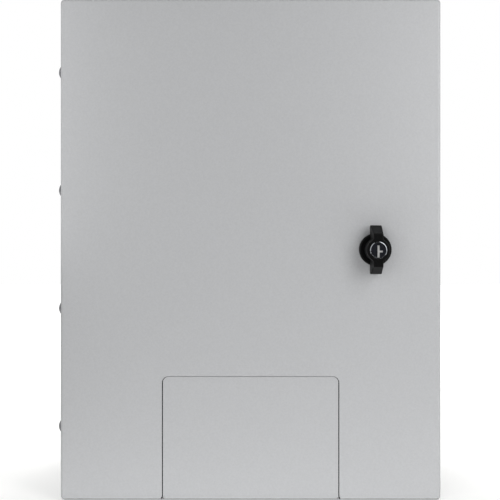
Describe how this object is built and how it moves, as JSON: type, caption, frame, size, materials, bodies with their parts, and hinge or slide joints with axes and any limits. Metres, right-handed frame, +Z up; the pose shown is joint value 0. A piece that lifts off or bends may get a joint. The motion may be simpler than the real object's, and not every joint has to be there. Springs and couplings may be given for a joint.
{
  "type": "steel wall enclosure",
  "caption": "Shallow upright steel wall enclosure with a hinged overlay door, a lockable wing knob, a lift-up cable flap in the door and a mounting plate inside.",
  "frame": {"origin": "centre of the four wall holes, on the wall face of the back", "axes": "+X to the right of a person facing the door, +Y into the wall, +Z up"},
  "size_m": [0.3822, 0.2263, 0.5],
  "materials": {
    "powder_coat": "fine textured light grey powder coat, matt",
    "zinc_plate": "bright zinc plate, slightly dull",
    "galvanised_sheet": "galvanised sheet with a faint spangle",
    "stainless_hinge": "brushed stainless sheet",
    "dull_steel": "plain steel, dull",
    "black_moulding": "black glass-filled nylon, fine matt grain",
    "chrome_ring": "polished chrome",
    "plug_black": "blackened die casting, satin",
    "shutter_steel": "bright stamped steel",
    "sealing_foam": "closed-cell black foam, matt skin"
  },
  "bodies": {
    "case": {"case_wrapper": "powder_coat", "case_back": "powder_coat", "plate_studs": "zinc_plate", "mounting_plate": "galvanised_sheet", "plate_washers": "zinc_plate", "plate_nuts": "zinc_plate", "gland_gasket": "sealing_foam", "gland_plate": "galvanised_sheet", "gland_studs": "zinc_plate", "gland_nuts": "zinc_plate", "case_earth_stud": "zinc_plate", "case_earth_washer": "zinc_plate", "case_earth_nut": "zinc_plate", "hinge_leaf_case": "stainless_hinge", "hinge_pin": "stainless_hinge", "hinge_rivets": "stainless_hinge"},
    "door": {"door_panel": "powder_coat", "door_gasket": "sealing_foam", "hinge_leaf_door": "stainless_hinge", "hinge_screws": "dull_steel", "hinge_nuts": "zinc_plate", "flap_stops": "black_moulding", "flap_lugs": "powder_coat", "flap_pins": "zinc_plate", "door_earth_stud": "zinc_plate", "door_earth_washer": "zinc_plate", "door_earth_nut": "zinc_plate", "lock_housing": "black_moulding", "lock_seal": "sealing_foam", "lock_nut": "zinc_plate"},
    "knob": {"wing_knob": "black_moulding", "cylinder_sleeve": "chrome_ring", "lock_cam": "zinc_plate", "cam_washer": "zinc_plate", "cam_screw": "zinc_plate"},
    "key_plug": {"key_plug": "plug_black", "keyway_shutter": "shutter_steel"},
    "flap": {"flap_panel": "powder_coat", "flap_arms": "powder_coat", "flap_gasket": "sealing_foam"}
  },
  "joints": [
    {"name": "door_swing", "type": "hinge", "parent": "case", "child": "door", "pos_m": [-0.1848, -0.1745, 0], "axis": [0, 0, -1], "range_deg": [0, 120]},
    {"name": "knob_turn", "type": "hinge", "parent": "door", "child": "knob", "pos_m": [0.1235, -0.2, 0], "axis": [0, -1, 0], "range_deg": [0, 90]},
    {"name": "key_turn", "type": "hinge", "parent": "knob", "child": "key_plug", "pos_m": [0.1235, -0.22, 0], "axis": [0, -1, 0], "range_deg": [-90, 0]},
    {"name": "flap_lift", "type": "hinge", "parent": "door", "child": "flap", "pos_m": [0, -0.1952, -0.1144], "axis": [-1, 0, 0], "range_deg": [0, 90]}
  ]
}
